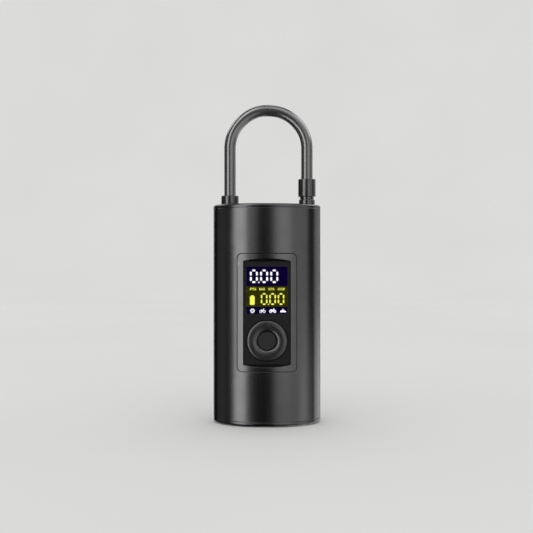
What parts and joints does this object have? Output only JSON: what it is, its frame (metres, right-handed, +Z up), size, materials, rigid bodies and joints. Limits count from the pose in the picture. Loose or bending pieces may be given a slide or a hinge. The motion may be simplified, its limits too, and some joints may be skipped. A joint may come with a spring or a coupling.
{
  "type": "portable electric air pump",
  "caption": "Hand-held rechargeable air pump with an oval metal body, a display panel with a dished round control, and a stiff air hose arched over the top as a handle.",
  "frame": {"origin": "middle of the foot, on the surface the pump stands on", "axes": "+Z up along the body, +X to the right seen from the display side, the display faces -Y"},
  "size_m": [0.071, 0.045, 0.2097],
  "materials": {
    "anodised_shell": "satin anodised",
    "cap_black": "satin",
    "foot_rubber": "matte",
    "bezel_black": "satin",
    "panel_black": "semi gloss",
    "lens_clear": "clear gloss",
    "lcd_dark": "gloss",
    "control_black": "satin",
    "key_black": "satin",
    "pad_rubber": "matte",
    "board_green": "solder mask",
    "screw_steel": "plain",
    "screw_dark": "black oxide",
    "switch_black": "matte",
    "hose_rubber": "smooth satin",
    "fitting_black": "satin anodised",
    "bushing_black": "matte",
    "brass": "machined",
    "tube_silicone": "translucent",
    "lamp_lens": "frosted",
    "port_steel": "plain",
    "inner_plastic": "moulded",
    "cell_can": "shrink sleeve",
    "lead_red": "soft",
    "ribbon_white": "flat",
    "motor_steel": "zinc plated",
    "magnet_iron": "sintered",
    "rotor_steel": "wound",
    "cast_alloy": "cast",
    "gear_steel": "sintered"
  },
  "bodies": {
    "housing": {"housing_sleeve": "anodised_shell", "top_cap": "cap_black", "bottom_cap": "cap_black", "foot_pad": "foot_rubber", "window_bezel": "bezel_black", "fascia_panel": "panel_black", "display_lens": "lens_clear", "lcd_module": "lcd_dark", "key_pad": "pad_rubber", "display_board": "board_green", "bezel_screws": "screw_steel", "key_switches": "switch_black", "hose": "hose_rubber", "hose_collar": "fitting_black", "stow_bushing": "bushing_black", "hose_manifold": "brass", "outlet_tube": "tube_silicone", "pressure_sensor": "switch_black", "lamp_lens": "lamp_lens", "lamp_board": "board_green", "usb_c_port": "port_steel", "charge_board": "board_green", "inner_frame": "inner_plastic", "battery_cells": "cell_can", "cell_straps": "screw_steel", "main_board": "board_green", "board_parts": "switch_black", "leads": "lead_red", "display_ribbon": "ribbon_white", "motor_can": "motor_steel", "motor_bushings": "brass", "motor_end_cap": "inner_plastic", "motor_magnets": "magnet_iron", "pump_base": "cast_alloy", "motor_screws": "screw_steel", "post_sleeves": "cast_alloy", "tie_screws": "screw_steel", "cylinder": "cast_alloy", "valve_plate": "screw_steel", "reed_valves": "screw_steel", "cylinder_head": "cast_alloy", "head_screws": "screw_steel", "bottom_screws": "screw_dark"},
    "rocker_gimbal": {"ring_gimbal": "inner_plastic"},
    "rocker_ring": {"control_ring": "control_black"},
    "start_key": {"centre_key": "key_black"},
    "rotor": {"armature": "rotor_steel", "motor_shaft": "screw_steel", "pinion": "brass"},
    "wheel": {"drive_wheel": "gear_steel", "crank_disc": "gear_steel"},
    "piston": {"connecting_rod": "inner_plastic", "piston_ring": "pad_rubber", "crank_pin": "screw_steel", "rod_bearing": "screw_steel"},
    "chuck": {"chuck_stem": "brass", "chuck_gasket": "pad_rubber", "valve_depressor": "brass"},
    "nut": {"chuck_nut": "fitting_black"}
  },
  "joints": [
    {"name": "ring_rock_sideways", "type": "hinge", "parent": "housing", "child": "rocker_gimbal", "pos_m": [0, -0.018, 0.055], "axis": [0, 0, 1], "range_deg": [-1.2, 1.2], "stiffness_Nm_per_rad": 0.5},
    {"name": "ring_rock_upright", "type": "hinge", "parent": "rocker_gimbal", "child": "rocker_ring", "pos_m": [0, -0.018, 0.055], "axis": [1, 0, 0], "range_deg": [-1.2, 1.2], "stiffness_Nm_per_rad": 0.5},
    {"name": "start_press", "type": "slide", "parent": "housing", "child": "start_key", "axis": [0, 1, 0], "range_m": [0, 0.00035], "stiffness_N_per_m": 2500},
    {"name": "rotor_spin", "type": "hinge", "parent": "housing", "child": "rotor", "pos_m": [-0.018, 0.0015, 0.1072], "axis": [0, 0, 1], "continuous": true},
    {"name": "wheel_spin", "type": "hinge", "parent": "housing", "child": "wheel", "pos_m": [-0.002, 0.0015, 0.1072], "axis": [0, 0, 1], "continuous": true},
    {"name": "piston_stroke", "type": "slide", "parent": "housing", "child": "piston", "axis": [1, 0, 0], "range_m": [0, 0.008]},
    {"name": "chuck_pull", "type": "slide", "parent": "housing", "child": "chuck", "axis": [0, 0, 1], "range_m": [0, 0.014], "deforming": ["hose"]},
    {"name": "nut_swivel", "type": "hinge", "parent": "chuck", "child": "nut", "pos_m": [0.0265, 0, 0.1469], "axis": [0, 0, 1], "continuous": true}
  ],
  "couplings": [
    {"joint": "wheel_spin", "follows": "rotor_spin", "ratio": -0.28}
  ]
}
